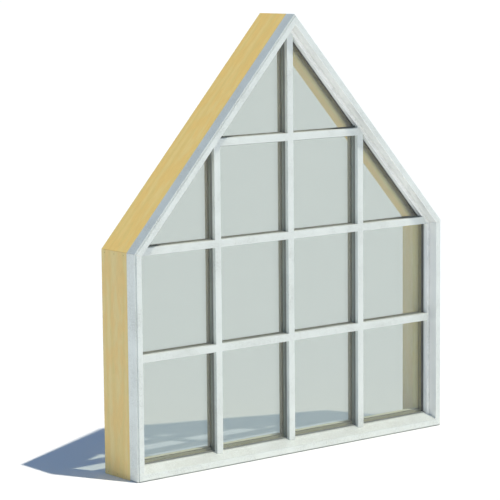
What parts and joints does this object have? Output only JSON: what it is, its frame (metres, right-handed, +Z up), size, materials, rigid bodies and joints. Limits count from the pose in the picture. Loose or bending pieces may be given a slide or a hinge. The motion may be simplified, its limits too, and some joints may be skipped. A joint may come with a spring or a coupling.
{
  "type": "gable-headed pentagon picture window",
  "caption": "Fixed pentagon window: a clad wood frame with a peaked head, sealed double glazing and divided-lite bars on both faces of the glass.",
  "frame": {"origin": "middle of the frame's width and depth, at its base", "axes": "+X across the width to the right as seen from outside, +Y from outside to the room, +Z up"},
  "size_m": [1.143, 0.16, 1.2699],
  "materials": {
    "frame_wood": "planed, clear finish",
    "trim_wood": "planed, clear finish",
    "cladding": "satin white baked coating",
    "glass": "clear, faintly grey-green",
    "spacer": "dark grey",
    "setting_block": "matt"
  },
  "bodies": {
    "root": {"wood_sill": "frame_wood", "wood_jamb_left": "frame_wood", "wood_jamb_right": "frame_wood", "wood_head_left": "frame_wood", "wood_head_right": "frame_wood", "clad_sill": "cladding", "clad_jamb_left": "cladding", "clad_jamb_right": "cladding", "clad_head_left": "cladding", "clad_head_right": "cladding", "bead_jamb_left": "cladding", "bead_jamb_right": "cladding", "bead_head_left": "cladding", "bead_head_right": "cladding", "glass_outer": "glass", "glass_inner": "glass", "edge_spacer": "spacer", "spacer_grid": "spacer", "setting_blocks": "setting_block", "stop_sill": "trim_wood", "stop_jamb_left": "trim_wood", "stop_jamb_right": "trim_wood", "stop_head_left": "trim_wood", "stop_head_right": "trim_wood", "face_bar_left": "cladding", "face_bar_centre": "cladding", "face_bar_right": "cladding", "face_bar_lower": "cladding", "face_bar_eave": "cladding", "face_bar_upper": "cladding", "room_bar_left": "trim_wood", "room_bar_centre": "trim_wood", "room_bar_right": "trim_wood", "room_bar_lower": "trim_wood", "room_bar_eave": "trim_wood", "room_bar_upper": "trim_wood"}
  },
  "joints": []
}
